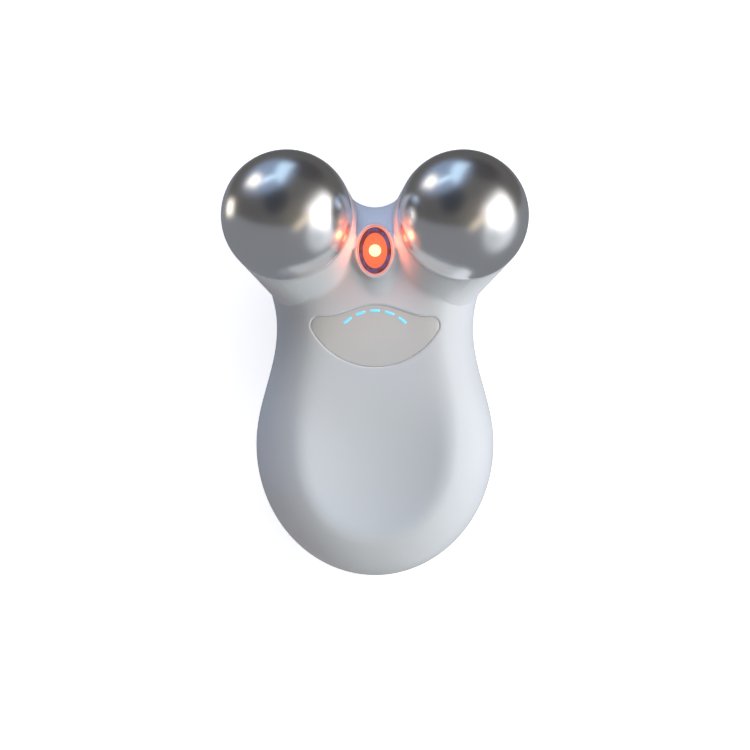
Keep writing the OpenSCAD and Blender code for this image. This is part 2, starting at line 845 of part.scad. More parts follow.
// Controller, driver and charger chips on the main board
module control_chips() {
    chips = [[-7.5, 15, 7, 7], [10.4, 6, 5, 4], [-6.2, 26, 3.6, 5]];
    color([0.10, 0.10, 0.11])
        for (c = chips)
            translate([c[0] - c[2] / 2, c[1] - c[3] / 2, board_top]) cube([c[2], c[3], 1.1]);
}

module level_leds() {
    color([0.92, 0.95, 0.80])
        at_each_light() translate([-0.8, -0.4, board_top]) cube([1.6, 0.8, led_h]);
}

module coil_core() {
    color([0.22, 0.22, 0.24]) translate([coil_at[0], coil_at[1], board_top])
        rotate_extrude() union() {
            square([coil_r / 2, coil_h]);
            square([coil_r, coil_flange]);
            translate([0, coil_h - coil_flange]) square([coil_r, coil_flange]);
        }
}

module coil_winding() {
    h = coil_h - 2 * coil_flange - 2 * clear;
    color([0.72, 0.40, 0.18]) translate([coil_at[0], coil_at[1], board_top + coil_flange + clear])
        difference() {
            cylinder(r = coil_r - 0.3, h = h);
            translate([0, 0, -1]) cylinder(r = coil_r / 2 + clear, h = h + 2);
        }
}

module beeper() {
    color([0.11, 0.11, 0.12]) translate([0, beeper_y, board_top]) difference() {
        cylinder(r = beeper_r, h = beeper_h);
        translate([0, 0, beeper_h - 1]) cylinder(r = 1, h = 2);
    }
}

module battery_cell() {
    color([0.62, 0.66, 0.70])
        union() {
            rounded_plate(-cell_w / 2, cell_y0, cell_w / 2, cell_y0 + cell_l, 2, cell_z, cell_t);
            translate([-cell_w / 2 + 2, cell_y0 + cell_l - eps, cell_z + 1])
                cube([cell_w - 4, 1.6, cell_t - 2.4]);
        }
}

module battery_pad() {
    color([0.30, 0.30, 0.32])
        rounded_plate(-cell_w / 2 + 2, cell_y0 + 3, cell_w / 2 - 2, cell_y0 + cell_l - 3, 2, wall, pad_t);
}

plug_x = -board_half_w + 2.4;
plug_y = 17;

module battery_plug() {
    color([0.90, 0.89, 0.82]) translate([plug_x - 2.2, plug_y + 4, board_top]) difference() {
        cube([4.4, 5.6, 3.4]);
        translate([0.7, -1, 0.7]) cube([3, 3.4, 2]);
    }
}

module battery_leads() {
    color([0.75, 0.12, 0.10])
        for (side = [-1, 1]) {
            start = [-cell_w / 2 - 0.4 - wire_r, 6 + side * 1.2, cell_z + cell_t / 2 + 1];
            end = [plug_x + side * 0.8, plug_y + 5, board_top + 1.7];
            wire([start, start + [-8 + 1.2 * side, 1, 5.8 + 0.8 * side], end + [0, -7, 2.8 + 0.8 * side], end],
                [0, 0.3, 1]);
        }
}

module charge_board() {
    color([0.08, 0.36, 0.22]) difference() {
        rounded_plate(-charge_board_w / 2, charge_board_y0, charge_board_w / 2,
            charge_board_y0 + charge_board_l, 1, charge_board_z, charge_board_t);
        for (side = [-1, 1])
            translate([side * charge_post_x, charge_post_y, charge_board_z - 1])
                cylinder(r = board_screw_r + 0.2, h = 3);
    }
}

module charge_socket() {
    y0 = -tail_l + socket_recess;
    color([0.74, 0.75, 0.77]) difference() {
        socket_slot(y0, socket_l, 0);
        socket_slot(y0 - 1, socket_l + 0.4, -socket_t);
    }
}

module socket_tongue() {
    y0 = -tail_l + socket_recess;
    color([0.09, 0.09, 0.10])
        translate([-3.3, y0 + 0.9, socket_z + socket_h / 2 - 0.35])
            cube([6.6, socket_l - 1.5, 0.7]);
}

module charge_screws() {
    color([0.70, 0.70, 0.72])
        for (side = [-1, 1])
            translate([side * charge_post_x, charge_post_y, charge_board_z + charge_board_t])
                mirror([0, 0, 1]) small_screw(4);
}

module charge_leads() {
    color([0.12, 0.12, 0.13])
        for (side = [-1, 1]) {
            start = [side * 1.5, charge_board_y0 + charge_board_l - 2.6,
                charge_board_z + charge_board_t + wire_r + clear];
            end = [side * 1.5, board_y0 + 1.5, board_z - wire_r - clear];
            wire([start, start + [0, 1, 3], end + [0, -5, 0], end], [1, 0, 0]);
        }
}

front_shell();
back_shell();
ball(-1);  // ball_left
ball(1);  // ball_right
gasket(-1);  // gasket_left
gasket(1);  // gasket_right
ball_screws();
ball_tags();
ball_lead(-1);  // ball_lead_left
ball_lead(1);  // ball_lead_right
window_bezel();
window_reflector();
window_lens();
red_lamp();
lamp_board();
lamp_leads();
key_panel();
level_lights();
switch_housing();
switch_dome();
switch_stem();
main_board();
board_screws();
control_chips();
level_leds();
coil_core();
coil_winding();
beeper();
battery_cell();
battery_pad();
battery_plug();
battery_leads();
charge_board();
charge_socket();
socket_tongue();
charge_screws();
charge_leads();
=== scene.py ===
"""Facial toning device: a smooth two-shell body with a thumb dish, two horns that carry polished
contact balls, a lit oval window, a push key with five level lights, and its inner parts."""
import json
import math

import bmesh
import bpy
from mathutils import Matrix, Vector


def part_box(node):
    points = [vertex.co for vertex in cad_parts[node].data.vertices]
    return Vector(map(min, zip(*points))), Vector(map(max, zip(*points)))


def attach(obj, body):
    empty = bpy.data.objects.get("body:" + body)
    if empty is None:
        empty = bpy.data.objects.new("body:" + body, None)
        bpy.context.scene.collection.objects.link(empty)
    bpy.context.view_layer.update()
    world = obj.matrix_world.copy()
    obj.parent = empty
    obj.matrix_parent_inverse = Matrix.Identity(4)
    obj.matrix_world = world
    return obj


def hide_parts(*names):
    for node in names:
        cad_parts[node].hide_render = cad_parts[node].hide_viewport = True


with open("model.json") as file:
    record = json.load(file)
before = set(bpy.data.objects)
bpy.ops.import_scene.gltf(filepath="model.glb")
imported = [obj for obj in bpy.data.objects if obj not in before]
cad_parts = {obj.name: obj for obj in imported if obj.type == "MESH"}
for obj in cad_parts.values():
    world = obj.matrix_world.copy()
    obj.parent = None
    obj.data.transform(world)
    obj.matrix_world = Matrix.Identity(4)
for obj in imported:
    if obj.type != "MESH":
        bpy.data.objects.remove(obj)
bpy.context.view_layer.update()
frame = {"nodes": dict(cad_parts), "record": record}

MM = 0.001

# Body, in millimetres. The tail is a hair short, so that this finer skin stays inside the solid's box.
BULB_HALF_W = 29.75
TAIL_L = 32.93
WAIST_Y = 29.0
WAIST_HALF_W = 24.6
HEAD_Y = 38.0
HEAD_HALF_W = 26.1
HEAD_L = 20.0
SEAM_Z = 12.5
SEAM_GAP = 0.1
BULB_TOP = 28.0
WAIST_TOP = 27.3
BACK_CUT = 1.6
WALL = 2.0
FRONT_POWER = 2.4
BACK_POWER = 2.3

# Heights above and below all that is cut from the shells, in millimetres
ABOVE_ALL = 40
BELOW_ALL = -20

# Thumb dish, and the flat panel above it that carries the key
DISH_FLOOR = 23.2
DISH_Y = -5.0
DISH_ACROSS_R = 67.0
DISH_ALONG_R = 122.0
DISH_RISE_L = 24.0
DISH_EDGE = 1.4
PANEL_Z = 25.0
PANEL_R = 400.0

# Balls, horns and the web between them. The pocket is closer to the ball than the solid's cup gap,
# at which the horn's outer wall would break through.
BALL_R = 16.25
BALL_X = 22.0
BALL_Y = 57.1
BALL_Z = 34.0
RIM_DROP = 4.0
RIM_LIP = 0.2
HORN_RIM_H = 0.8
CUP_GAP = 0.3
POCKET_GAP = 0.1
CUP_WALL = 2.0
CUP_FLOOR = 17.85
ROOT = Vector((15.6, 50.0, 15.0))
ROOT_SIZE = Vector((12.8, 18.3, 14.7))
LOW_ROOT = Vector((17.3, 49.6, 15.2))
LOW_ROOT_SIZE = Vector((10.8, 18.1, 14.5))
LOW_INSET = 0.02
SADDLE_R = 8.6
SADDLE_Y = 59.3
WEB_HALF_L = 10.5
WEB_HALF_H = 12.0
WEB_REACH = 46.0

# Lit window
WINDOW_Y = 48.3
BOSS_TOP = 26.8
BOSS = (5.0, 6.9)
RIM_RISE = 0.18
RIM_ROUND = 0.2
SWELLS = (((0, 48.0, 17.3), (16, 8.5, 9)), ((0.8, 42.5, 17.5), (9, 12, 8.5)))
BEZEL = (4.36, 6.14)
BEZEL_TOP = 27.1
BEZEL_W = 0.28
BEZEL_ROUND = 0.12
FUNNEL_IN = 0.32
FUNNEL_DROP = 0.42
LENS = (3.05, 4.4)
LENS_TOP = 25.7
LAMP_R = 1.7
WELL_FLOOR = 18
TUBE_FLOOR = 17
TUBE_WALL = 1.1

# Key
KEY_ARC_R = 18.1
KEY_ARC_Y = 37.4
KEY_SHOULDER_Y = 31.8
KEY_RISE = 2.9
KEY_RISE_HALF_W = 13.0
KEY_CORNER_R = 2.2
KEY_GAP = 0.05
KEY_SINK = 0.25
KEY_FLOOR = 21.5
PLUNGER_R = 2.1
PLUNGER_H = 2.6
PLUNGER_Y = 25.5
LIGHT_ARC_R = 10.9
LIGHT_ARC_Y = 22.4
LIGHT_STEP = 19.4
LIGHT_L = 2.6
LIGHT_W = 0.76
LIGHT_PROUD = 0.12

# Room round the charging socket, in millimetres
SLOT_ROOM = 0.4

# How finely the smooth shell is rebuilt, and how far it is smoothed after that
VOXEL = 0.5
INNER_VOXEL = 0.9
SMOOTHING = 0.5
SMOOTH_PASSES = 5


# ---------------------------------------------------------------- small tools

def deselect():
    if bpy.context.mode != "OBJECT":
        bpy.ops.object.mode_set(mode="OBJECT")
    bpy.ops.object.select_all(action="DESELECT")


def pick(*objects):
    """Only these objects are selected, and the first is active."""
    deselect()
    for piece in objects:
        piece.select_set(True)
    bpy.context.view_layer.objects.active = objects[0]


def settle(piece):
    """Moves the piece's place, turn and size into its mesh."""
    pick(piece)
    bpy.ops.object.transform_apply(location=True, rotation=True, scale=True)
    return piece


def named(piece, name):
    piece.name = name
    piece.data.name = name
    return piece


def join(name, *parts):
    pick(*parts)
    bpy.ops.object.join()
    return named(bpy.context.view_layer.objects.active, name)


def copy_of(piece, name):
    twin = piece.copy()
    twin.data = piece.data.copy()
    bpy.context.collection.objects.link(twin)
    return named(twin, name)


def remove(*objects):
    for piece in objects:
        bpy.data.objects.remove(piece, do_unlink=True)


def modify(piece, kind, **settings):
    """Adds a modifier, sets it and applies it."""
    modifier = piece.modifiers.new(kind.title(), kind)
    for key, value in settings.items():
        setattr(modifier, key, value)
    pick(piece)
    bpy.ops.object.modifier_apply(modifier=modifier.name)
    if piece.modifiers:
        raise RuntimeError(kind + " left unapplied on " + piece.name)
    return piece


def carve(piece, tool, operation="DIFFERENCE"):
    modify(piece, "BOOLEAN", object=tool, operation=operation, solver="MANIFOLD")
    remove(tool)
    return piece


def smooth(piece, angle=40):
    pick(piece)
    bpy.ops.object.shade_smooth_by_angle(angle=math.radians(angle))
    return piece


def edit(piece, mode="FACE"):
    pick(piece)
    bpy.ops.object.mode_set(mode="EDIT")
    bpy.ops.mesh.select_mode(type=mode)
    bpy.ops.mesh.select_all(action="DESELECT")


def done():
    bpy.ops.object.mode_set(mode="OBJECT")


def select_faces(piece, wanted):
    """Selects the faces of the edited piece for which wanted(face) is true."""
    mesh = bmesh.from_edit_mesh(piece.data)
    for face in mesh.faces:
        face.select = bool(wanted(face))
    mesh.select_flush_mode()
    bmesh.update_edit_mesh(piece.data)


def select_edges(piece, wanted):
    mesh = bmesh.from_edit_mesh(piece.data)
    for edge in mesh.edges:
        edge.select = bool(wanted(edge))
    bmesh.update_edit_mesh(piece.data)


def tidy_mesh(piece, near=0.00001):
    """Merges doubles and turns the faces outwards."""
    edit(piece)
    bpy.ops.mesh.select_all(action="SELECT")
    bpy.ops.mesh.remove_doubles(threshold=near)
    bpy.ops.mesh.normals_make_consistent(inside=False)
    done()
    return piece


# ---------------------------------------------------------------- body form

def clamp01(v):
    return min(1.0, max(0.0, v))


def ease(v):
    c = clamp01(v)
    return c * c * (3 - 2 * c)


def bell(v):
    return (1 + math.cos(math.pi * clamp01(v))) / 2


def oval(v, power):
    return max(0.0, 1 - min(1.0, abs(v)) ** power) ** (1 / power)


def half_width(y, inset=0.0):
    """Half width of the body at y, inside an even inset."""
    flare = (HEAD_HALF_W - WAIST_HALF_W) / (HEAD_Y - WAIST_Y) ** 2
    if y < 0:
        return (BULB_HALF_W - inset) * math.sqrt(max(0, 1 - (y / (TAIL_L - inset)) ** 2))
    if y < WAIST_Y:
        return WAIST_HALF_W - inset + (BULB_HALF_W - WAIST_HALF_W) * bell(y / WAIST_Y)
    if y < HEAD_Y:
        return WAIST_HALF_W - inset + flare * (y - WAIST_Y) ** 2
    return (HEAD_HALF_W - inset) * math.sqrt(max(0, 1 - ((y - HEAD_Y) / (HEAD_L - inset)) ** 2))


def end_round(y, inset=0.0):
    """How much of its full height the body has at y, where its ends are rounded."""
    if y < 0:
        return oval(y / (TAIL_L - inset), FRONT_POWER)
    if y < HEAD_Y:
        return 1.0
    return math.sqrt(max(0, 1 - ((y - HEAD_Y) / (HEAD_L - inset)) ** 2))


def crown(y, inset=0.0):
    rise = (BULB_TOP - WAIST_TOP) * (1 if y < 0 else bell(y / WAIST_Y))
    return (WAIST_TOP - SEAM_Z - inset + rise) * end_round(y, inset)


def keel(y, inset=0.0):
    return (SEAM_Z + BACK_CUT - inset) * end_round(y, inset)


def bowl(x, y):
    """Height of the hollow that is scooped out of the crown: a dish that rises to the key's panel."""
    rise = ease((y - DISH_Y) / DISH_RISE_L)
    across = (1 - rise) / (2 * DISH_ACROSS_R) + rise / (2 * PANEL_R)
    along = min(0.0, y - DISH_Y) ** 2 / (2 * DISH_ALONG_R)
    return DISH_FLOOR + (PANEL_Z - DISH_FLOOR) * rise + across * x * x + along


def soft_min(a, b):
    """The lower of two heights, with the edge between them rounded over."""
    near = max(0.0, DISH_EDGE - abs(a - b)) / DISH_EDGE
    return min(a, b) - near * near * DISH_EDGE / 4


def front_z(x, y, inset=0.0):
    """Height of the front face at x, y."""
    dome = SEAM_Z + crown(y, inset) * oval(x / half_width(y, inset), FRONT_POWER)
    return soft_min(dome, bowl(x, y) - inset)


def signed_power(v, power):
    return math.copysign(abs(v) ** power, v)


def body_ring(y, inset, sides):
    ring = []
    for i in range(sides):
        a = 2 * math.pi * i / sides
        front = math.sin(a) >= 0
        power = FRONT_POWER if front else BACK_POWER
        u = signed_power(math.cos(a), 2 / power)
        v = signed_power(math.sin(a), 2 / power)
        x = half_width(y, inset) * u
        if front:
            z = soft_min(SEAM_Z + crown(y, inset) * v, bowl(x, y) - inset)
        else:
            z = SEAM_Z + keel(y, inset) * v
        ring.append((x, y, z))
    return ring


def stations(inset, rings):
    """Places along the body for its rings, closer together at the round ends."""
    tail, middle, head = rings
    tip = math.radians(2)
    reach = math.pi / 2 - tip
    return (
        [-(TAIL_L - inset) * math.cos(tip + reach * i / tail) for i in range(tail)]
        + [HEAD_Y * i / middle for i in range(middle)]
        + [HEAD_Y + (HEAD_L - inset) * math.sin(reach * i / head) for i in range(head + 1)]
    )


def skin(name, rings):
    """A closed skin through rings that all have the same number of points, in millimetres."""
    mesh = bmesh.new()
    rows = [[mesh.verts.new(Vector(point) * MM) for point in ring] for ring in rings]
    for low, high in zip(rows, rows[1:]):
        for i in range(len(low)):
            mesh.faces.new((low[i - 1], low[i], high[i], high[i - 1]))
    mesh.faces.new(rows[0])
    mesh.faces.new(rows[-1])
    bmesh.ops.recalc_face_normals(mesh, faces=mesh.faces)
    data = bpy.data.meshes.new(name)
    mesh.to_mesh(data)
    mesh.free()
    piece = bpy.data.objects.new(name, data)
    bpy.context.collection.objects.link(piece)
    return piece


def body_skin(name, inset=0.0, rings=(36, 60, 26), sides=144):
    return skin(name, [body_ring(y, inset, sides) for y in stations(inset, rings)])


def horn_skin(name, side, inset=0.0, foot=ROOT, foot_size=ROOT_SIZE):
    """The cone from the cup's rim down to its broad root in the head."""
    deselect()
    bpy.ops.mesh.primitive_cylinder_add(
        vertices=128, radius=(BALL_R + RIM_LIP - inset) * MM, depth=HORN_RIM_H * MM,
        location=(side * BALL_X * MM, BALL_Y * MM, (BALL_Z - RIM_DROP - inset - HORN_RIM_H / 2) * MM))
    rim = settle(bpy.context.object)
    bpy.ops.mesh.primitive_uv_sphere_add(
        segments=96, ring_count=48, radius=MM, location=(side * foot.x * MM, foot.y * MM, foot.z * MM))
    root = bpy.context.object
    root.scale = foot_size - Vector((inset, inset, inset))
    settle(root)
    horn = join(name, rim, root)
    edit(horn, "VERT")
    bpy.ops.mesh.select_all(action="SELECT")
    bpy.ops.mesh.convex_hull()
    done()
    return horn


def web_skin(name, inset=0.0):
    """The curved web between the horns, with the saddle on its inside."""
    middle = SADDLE_Y + SADDLE_R
    deselect()
    bpy.ops.mesh.primitive_torus_add(
        major_segments=160, minor_segments=72, major_radius=(SADDLE_R + WEB_HALF_L) * MM,
        minor_radius=(WEB_HALF_L - inset) * MM, location=(0, 0, 0))
    web = bpy.context.object
    web.scale.z = (WEB_HALF_H - inset) / (WEB_HALF_L - inset)
    settle(web)
    for side in (-1, 1):
        normal = Matrix.Rotation(math.radians(side * WEB_REACH), 3, "Z") @ Vector((side, 0, 0))
        edit(web)
        bpy.ops.mesh.select_all(action="SELECT")
        bpy.ops.mesh.bisect(plane_co=(0, 0, 0), plane_no=normal, use_fill=True, clear_outer=True)
        done()
    web.location = (0, middle * MM, (WEB_HALF_H + 0.5) * MM)
    return settle(named(web, name))


def block(name, low, high):
    """A box between two corners in millimetres."""
    deselect()
    middle = (Vector(low) + Vector(high)) / 2 * MM
    bpy.ops.mesh.primitive_cube_add(size=1, location=middle)
    box = bpy.context.object
    box.scale = (Vector(high) - Vector(low)) * MM
    return settle(named(box, name))


def slab(name, z0, z1):
    """A block wider than the whole device, between two heights."""
    return block(name, (-60, -60, z0), (60, 90, z1))


def window_prism(name, size, z0, z1, grow=0.0, fine=128):
    """An upright oval column round the window's middle."""
    deselect()
    bpy.ops.mesh.primitive_cylinder_add(
        vertices=fine, radius=MM, depth=(z1 - z0) * MM, location=(0, WINDOW_Y * MM, (z0 + z1) / 2 * MM))
    column = bpy.context.object
    column.scale = (size[0] + grow, size[1] + grow, 1)
    return settle(named(column, name))


def ball_skin(name, side, radius, floor):
    """A sphere round the ball's centre, cut flat at the floor's height."""
    deselect()
    bpy.ops.mesh.primitive_uv_sphere_add(
        segments=160, ring_count=80, radius=radius * MM,
        location=(side * BALL_X * MM, BALL_Y * MM, BALL_Z * MM))
    ball = settle(named(bpy.context.object, name))
    edit(ball)
    bpy.ops.mesh.select_all(action="SELECT")
    bpy.ops.mesh.bisect(
        plane_co=(0, 0, floor * MM), plane_no=(0, 0, -1), threshold=1e-7, use_fill=True,
        clear_outer=True)
    done()
    return ball


def key_outline(grow=0.0):
    """Points round the key: a rising top edge, two round corners and a wide lower arc."""
    corner_y = KEY_SHOULDER_Y - KEY_CORNER_R
    corner_x = math.sqrt((KEY_ARC_R - KEY_CORNER_R) ** 2 - (KEY_ARC_Y - corner_y) ** 2)
    low = math.degrees(math.atan2(corner_y - KEY_ARC_Y, corner_x))
    right = []
    for i in range(24):
        x = corner_x * i / 24
        slope = -KEY_RISE * math.pi / (2 * KEY_RISE_HALF_W) * math.sin(math.pi * clamp01(x / KEY_RISE_HALF_W))
        outward = Vector((-slope, 1)).normalized()
        right.append(Vector((x, KEY_SHOULDER_Y + KEY_RISE * bell(x / KEY_RISE_HALF_W))) + grow * outward)
    for i in range(17):
        a = math.radians(90 + (low - 90) * i / 16)
        spoke = Vector((math.cos(a), math.sin(a)))
        right.append(Vector((corner_x, corner_y)) + (KEY_CORNER_R + grow) * spoke)
    for i in range(1, 25):
        a = math.radians(low + (-90 - low) * i / 24)
        spoke = Vector((math.cos(a), math.sin(a)))
        right.append(Vector((0, KEY_ARC_Y)) + (KEY_ARC_R + grow) * spoke)
    left = [Vector((-p.x, p.y)) for p in reversed(right[1:-1])]
    return right + left


def key_prism(name, grow, z0, z1):
    points = key_outline(grow)
    return skin(name, [[(p.x, p.y, z) for p in points] for z in (z0, z1)])


def key_chamfer():
    """The shallow chamfer round the key's opening, which follows the panel. Each step is how far it
    lies outside the opening, and how high above the face."""
    steps = ((-0.02, -KEY_SINK - 0.04), (0.28, -0.08), (0.42, 0.01), (1.0, 0.3))
    rings = [[(p.x, p.y, front_z(p.x, p.y) + rise) for p in key_outline(KEY_GAP + grow)]
             for grow, rise in steps]
    return skin("chamfer", rings)


# ---------------------------------------------------------------- shells

def swell(name, place, size):
    """A low rounded swell of the front face."""
    deselect()
    bpy.ops.mesh.primitive_uv_sphere_add(
        segments=96, ring_count=48, radius=MM, location=Vector(place) * MM)
    mound = bpy.context.object
    mound.scale = size
    return settle(named(mound, name))


def whole_form():
    """The smooth outside of both shells: body, horns, web and window boss grown together, with the
    lower horns laid over it once more, unsmoothed."""
    swells = [swell("swell", place, size) for place, size in SWELLS]
    form = join(
        "form", body_skin("body"), web_skin("web"), horn_skin("horn_left", -1),
        horn_skin("horn_right", 1), window_prism("boss", BOSS, SEAM_Z, BOSS_TOP), *swells)
    modify(form, "REMESH", mode="VOXEL", voxel_size=VOXEL * MM, adaptivity=0)
    modify(form, "SMOOTH", factor=SMOOTHING, iterations=SMOOTH_PASSES)
    for side in (-1, 1):
        carve(form, horn_skin("crisp_horn", side, LOW_INSET, LOW_ROOT, LOW_ROOT_SIZE), "UNION")
    return form


def hollow_form():
    """The room inside both shells."""
    room = join(
        "room", body_skin("inner_body", WALL, (20, 30, 14), 72), web_skin("inner_web", WALL),
        horn_skin("inner_horn_left", -1, WALL), horn_skin("inner_horn_right", 1, WALL))
    modify(room, "REMESH", mode="VOXEL", voxel_size=INNER_VOXEL * MM, adaptivity=0)
    for side in (-1, 1):
        carve(room, ball_skin("cup", side, BALL_R + CUP_GAP + CUP_WALL, CUP_FLOOR - CUP_WALL))
    carve(room, slab("below", BELOW_ALL, WALL))
    carve(room, window_prism("tube", BEZEL, TUBE_FLOOR, ABOVE_ALL, TUBE_WALL, 64))
    return room


def boss_rim():
    """The crisp raised edge round the lit window."""
    rim = window_prism("rim", BOSS, BOSS_TOP - 2, BOSS_TOP + RIM_RISE, -0.04)
    edit(rim, "EDGE")
    select_edges(rim, lambda e: all(v.co.z > BOSS_TOP * MM for v in e.verts))
    bpy.ops.mesh.bevel(offset=RIM_ROUND * MM, segments=3)
    done()
    return rim


def shells():
    form = whole_form()
    carve(form, boss_rim(), "UNION")
    room = hollow_form()
    for side in (-1, 1):
        carve(form, ball_skin("pocket", side, BALL_R + POCKET_GAP, CUP_FLOOR))
    carve(form, room)
    carve(form, window_prism("well", BEZEL, WELL_FLOOR, ABOVE_ALL, 0.06))
    carve(form, key_prism("opening", KEY_GAP, SEAM_Z + 2, ABOVE_ALL))
    carve(form, key_chamfer())
    back = copy_of(form, "back_cover")
    carve(form, slab("lower", BELOW_ALL, SEAM_Z + SEAM_GAP / 2))
    carve(back, slab("upper", SEAM_Z - SEAM_GAP / 2, 60))
    carve(back, slab("table", BELOW_ALL, 0))
    carve(back, charge_slot())
    return named(form, "front_cover"), back


def charge_slot():
    """The rounded slot of the charging inlet."""
    low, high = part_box("charge_socket")
    middle = (low + high) / 2
    height = high.z - low.z + SLOT_ROOM * MM
    width = high.x - low.x + SLOT_ROOM * MM
    deselect()
    bpy.ops.mesh.primitive_cube_add(size=1, location=(0, low.y, middle.z))
    slot = bpy.context.object
    slot.scale = (width, 16 * MM, height)
    settle(named(slot, "slot"))
    edit(slot, "EDGE")
    select_edges(slot, lambda e: abs(e.verts[0].co.y - e.verts[1].co.y) > 0.01)
    bpy.ops.mesh.bevel(offset=height * 0.499, segments=12)
    done()
    return slot


# ---------------------------------------------------------------- balls

def contact_ball(side):
    """A plated ball whose flat foot sits down in the cup. Its inside is never seen and isn't made."""
    name = "ball_left" if side < 0 else "ball_right"
    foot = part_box(name)[0].z / MM
    ball = ball_skin("polished_" + name, side, BALL_R, foot)
    edit(ball, "EDGE")
    select_edges(ball, lambda e: all(abs(v.co.z - foot * MM) < 1e-6 for v in e.verts) and len(
        {f for f in e.link_faces if abs(f.normal.z) < 0.99}) == 1)
    bpy.ops.mesh.bevel(offset=0.25 * MM, segments=3)
    done()
    smooth(ball, 30)
    return ball


# ---------------------------------------------------------------- window

def oval_ring(name, outer, inner, z0, z1, lip):
    """An upright oval ring with rounded top edges."""
    ring = window_prism(name, outer, z0, z1)
    carve(ring, window_prism("core", inner, z0 - 1, z1 + 1))
    tidy_mesh(ring)
    edit(ring, "EDGE")
    select_edges(ring, lambda e: all(abs(v.co.z - z1 * MM) < 1e-6 for v in e.verts) and any(
        abs(f.normal.z) < 0.5 for f in e.link_faces))
    bpy.ops.mesh.bevel(offset=lip * MM, segments=3)
    done()
    return smooth(ring, 50)


def window_bezel():
    inner = (BEZEL[0] - BEZEL_W, BEZEL[1] - BEZEL_W)
    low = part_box("window_bezel")[0].z / MM
    return oval_ring("clear_bezel", BEZEL, inner, low, BEZEL_TOP, BEZEL_ROUND)


def window_reflector():
    """The dark polished funnel that stands round the lens."""
    size = (BEZEL[0] - FUNNEL_IN, BEZEL[1] - FUNNEL_IN)
    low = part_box("window_reflector")[0].z / MM
    ring = window_prism("polished_funnel", size, low, BEZEL_TOP - FUNNEL_DROP)
    carve(ring, window_prism("core", LENS, low - 1, LENS_TOP, 0.05))
    funnel = window_prism("funnel", LENS, LENS_TOP - 0.05, BEZEL_TOP, 0.05)
    edit(funnel)
    select_faces(funnel, lambda f: f.normal.z > 0.9)
    bpy.ops.transform.resize(
        value=((size[0] - 0.1) / LENS[0], (size[1] - 0.1) / LENS[1], 1),
        center_override=(0, WINDOW_Y * MM, 0))
    done()
    carve(ring, funnel)
    return smooth(ring, 30)


def window_lens():
    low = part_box("window_lens")[0].z / MM
    lens = window_prism("tinted_lens", LENS, low, LENS_TOP)
    edit(lens, "EDGE")
    select_edges(lens, lambda e: all(abs(v.co.z - LENS_TOP * MM) < 1e-6 for v in e.verts))
    bpy.ops.mesh.bevel(offset=0.08 * MM, segments=3)
    done()
    return smooth(lens, 40)


def lamp():
    """The lamp's body and its domed top, which shows through the lens."""
    low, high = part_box("red_lamp")
    middle = (low + high) / 2
    deselect()
    bpy.ops.mesh.primitive_cylinder_add(
        vertices=64, radius=LAMP_R * MM, depth=high.z - low.z, location=middle)
    dome = settle(named(bpy.context.object, "amber_lamp"))
    edit(dome, "EDGE")
    select_edges(dome, lambda e: all(abs(v.co.z - high.z) < 1e-6 for v in e.verts))
    bpy.ops.mesh.bevel(offset=0.45 * MM, segments=6)
    done()
    deselect()
    bpy.ops.mesh.primitive_cube_add(size=1, location=(middle.x, middle.y, low.z + 0.45 * MM))
    base = bpy.context.object
    base.scale = (high.x - low.x - 0.2 * MM, high.y - low.y - 0.2 * MM, 0.9 * MM)
    settle(base)
    return smooth(join("amber_lamp", dome, base), 40)


# ---------------------------------------------------------------- key

def key_plate():
    """The key's top follows the body, a little sunk, with a softened edge and its plunger below."""
    plate = key_prism("key_cap", 0, KEY_FLOOR, ABOVE_ALL)
    carve(plate, body_skin("face", KEY_SINK), "INTERSECT")
    tidy_mesh(plate, 0.00002)
    edit(plate, "EDGE")
    select_edges(plate, lambda e: len(e.link_faces) == 2 and e.calc_face_angle(0) > 0.9 and all(
        v.co.z > 23 * MM for v in e.verts))
    bpy.ops.mesh.bevel(offset=0.07 * MM, segments=2)
    done()
    deselect()
    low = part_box("key_panel")[0].z
    bpy.ops.mesh.primitive_cylinder_add(
        vertices=48, radius=PLUNGER_R * MM, depth=PLUNGER_H * MM,
        location=(0, PLUNGER_Y * MM, low + PLUNGER_H / 2 * MM))
    plunger = settle(bpy.context.object)
    smooth(plate, 35)
    return join("key_cap", plate, plunger)


def level_bar(i):
    """One light of the arc: a short bar with round ends and a softly domed top."""
    a = math.radians(-i * LIGHT_STEP)
    x = -LIGHT_ARC_R * math.sin(a)
    y = LIGHT_ARC_Y + LIGHT_ARC_R * math.cos(a)
    top = front_z(x, y) - KEY_SINK + LIGHT_PROUD
    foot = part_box("level_lights")[0].z / MM
    deselect()
    bpy.ops.mesh.primitive_cube_add(size=1, location=(0, 0, 0))
    bar = bpy.context.object
    bar.scale = (LIGHT_L * MM, LIGHT_W * MM, (top - foot) * MM)
    settle(named(bar, "level_bar_%d" % (i + 3)))
    edit(bar, "EDGE")
    select_edges(bar, lambda e: abs(e.verts[0].co.z - e.verts[1].co.z) > 0.001)
    bpy.ops.mesh.bevel(offset=LIGHT_W / 2 * 0.98 * MM, segments=8)
    select_edges(bar, lambda e: all(v.co.z > 0.001 for v in e.verts))
    bpy.ops.mesh.bevel(offset=0.26 * MM, segments=4)
    done()
    slope = (front_z(x + 1, y) - front_z(x - 1, y)) / 2
    for vertex in bar.data.vertices:
        if vertex.co.z > 0:
            vertex.co.z += slope * math.cos(a) * vertex.co.x
    bar.rotation_euler.z = a
    bar.location = (x * MM, y * MM, (top + foot) / 2 * MM)
    settle(bar)
    return smooth(bar, 40)


# ---------------------------------------------------------------- material groups

def socket_in(group, kind, name, value=None):
    socket = group.interface.new_socket(name=name, in_out="INPUT", socket_type="NodeSocket" + kind)
    if value is not None:
        socket.default_value = value


def socket_out(group, kind, name):
    group.interface.new_socket(name=name, in_out="OUTPUT", socket_type="NodeSocket" + kind)


